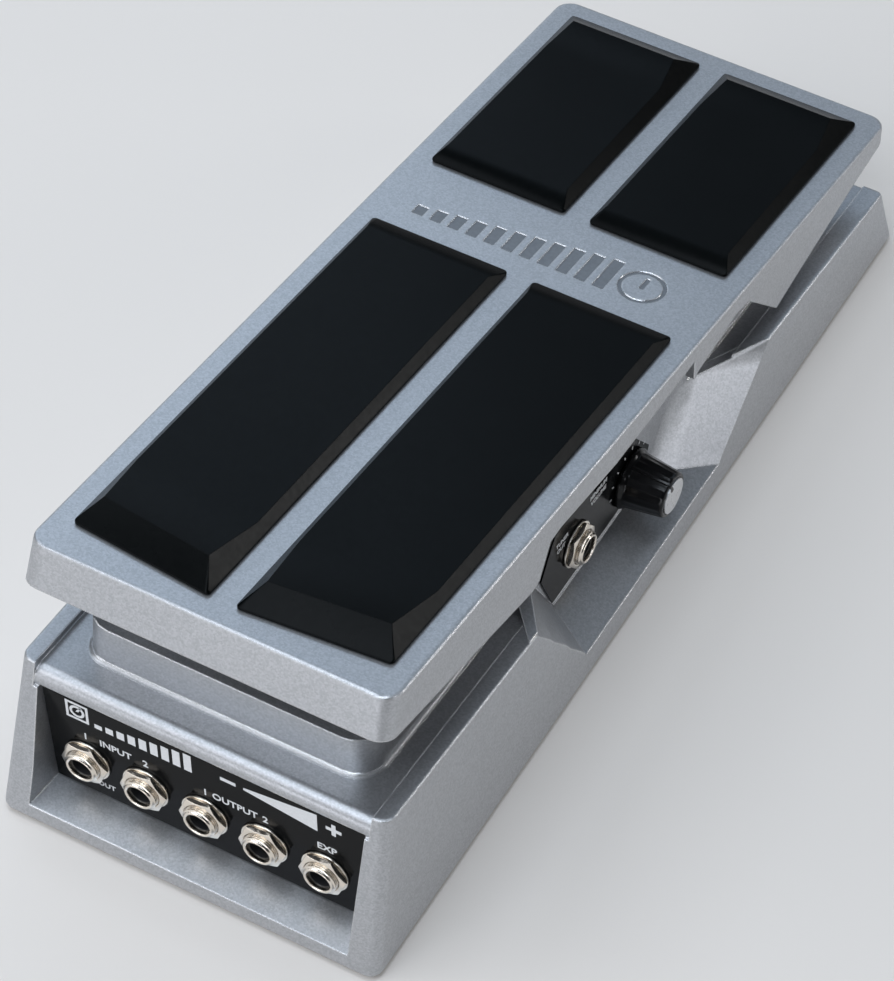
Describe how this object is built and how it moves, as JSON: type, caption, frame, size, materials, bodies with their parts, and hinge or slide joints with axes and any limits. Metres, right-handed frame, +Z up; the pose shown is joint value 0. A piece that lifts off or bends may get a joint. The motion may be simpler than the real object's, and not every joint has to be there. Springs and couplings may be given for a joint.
{
  "type": "volume pedal",
  "caption": "Volume pedal: a rocking treadle with four rubber pads on a wedge-shaped cast housing, with a row of jacks under the toe and a jack and a knob in a side recess.",
  "frame": {"origin": "on the ground plane, under the middle of the pedal", "axes": "+Z up, -Y towards the toe end with the row of jacks, +X towards the side with the knob"},
  "size_m": [0.11, 0.2886, 0.0919],
  "materials": {
    "silver_paint": "satin silver paint over cast aluminium",
    "black_rubber": "matte",
    "black_label": "satin printed sheet",
    "nickel": "nickel plate",
    "black_plastic": "gloss",
    "steel": "satin",
    "nylon": "matte",
    "board_green": "matte",
    "silver_cap": "turned"
  },
  "bodies": {
    "base": {"housing": "silver_paint", "bottom_plate": "steel", "foot_1": "black_rubber", "foot_2": "black_rubber", "foot_3": "black_rubber", "foot_4": "black_rubber", "plate_screw_1": "nickel", "plate_screw_2": "nickel", "plate_screw_3": "nickel", "plate_screw_4": "nickel", "plate_screw_5": "nickel", "plate_screw_6": "nickel", "toe_label": "black_label", "jack_board": "board_green", "side_label": "black_label", "toe_jack_1_body": "nickel", "toe_jack_1_washer": "nickel", "toe_jack_1_nut": "nickel", "toe_jack_2_body": "nickel", "toe_jack_2_washer": "nickel", "toe_jack_2_nut": "nickel", "toe_jack_3_body": "nickel", "toe_jack_3_washer": "nickel", "toe_jack_3_nut": "nickel", "toe_jack_4_body": "nickel", "toe_jack_4_washer": "nickel", "toe_jack_4_nut": "nickel", "toe_jack_5_body": "nickel", "toe_jack_5_washer": "nickel", "toe_jack_5_nut": "nickel", "side_jack_body": "nickel", "side_jack_washer": "nickel", "side_jack_nut": "nickel", "level_pot": "black_plastic", "level_pot_nut": "nickel", "toe_stop_left": "black_rubber", "toe_stop_right": "black_rubber", "hinge_bush_left": "nylon", "hinge_bush_right": "nylon", "volume_pot": "black_plastic", "pot_bracket": "steel", "brake_shoe": "nylon", "brake_bridge": "steel"},
    "treadle_group": {"treadle": "silver_paint", "toe_pad_left": "black_rubber", "toe_pad_right": "black_rubber", "heel_pad_left": "black_rubber", "heel_pad_right": "black_rubber", "hinge_shaft": "steel", "drive_sector": "nylon"},
    "level_knob_group": {"level_knob": "black_plastic", "level_knob_cap": "silver_cap", "level_shaft": "nickel"},
    "volume_group": {"pinion": "nylon", "volume_shaft": "nickel"},
    "torque_group": {"torque_screw": "nickel"}
  },
  "joints": [
    {"name": "treadle_tilt", "type": "hinge", "parent": "base", "child": "treadle_group", "pos_m": [0, 0.0055, 0.0485], "axis": [1, 0, 0], "range_deg": [-3.5, 10]},
    {"name": "level_turn", "type": "hinge", "parent": "base", "child": "level_knob_group", "pos_m": [0.047, 0.0111, 0.024], "axis": [1, 0, 0], "range_deg": [-150, 150]},
    {"name": "volume_turn", "type": "hinge", "parent": "base", "child": "volume_group", "pos_m": [0, -0.04015, 0.03367], "axis": [1, 0, 0], "range_deg": [-80, 40]},
    {"name": "torque_turn", "type": "hinge", "parent": "base", "child": "torque_group", "pos_m": [-0.013, 0.0055, 0.0115], "axis": [0, 0, 1], "range_deg": [-180, 180]}
  ],
  "couplings": [
    {"joint": "volume_turn", "follows": "treadle_tilt", "ratio": -7}
  ]
}
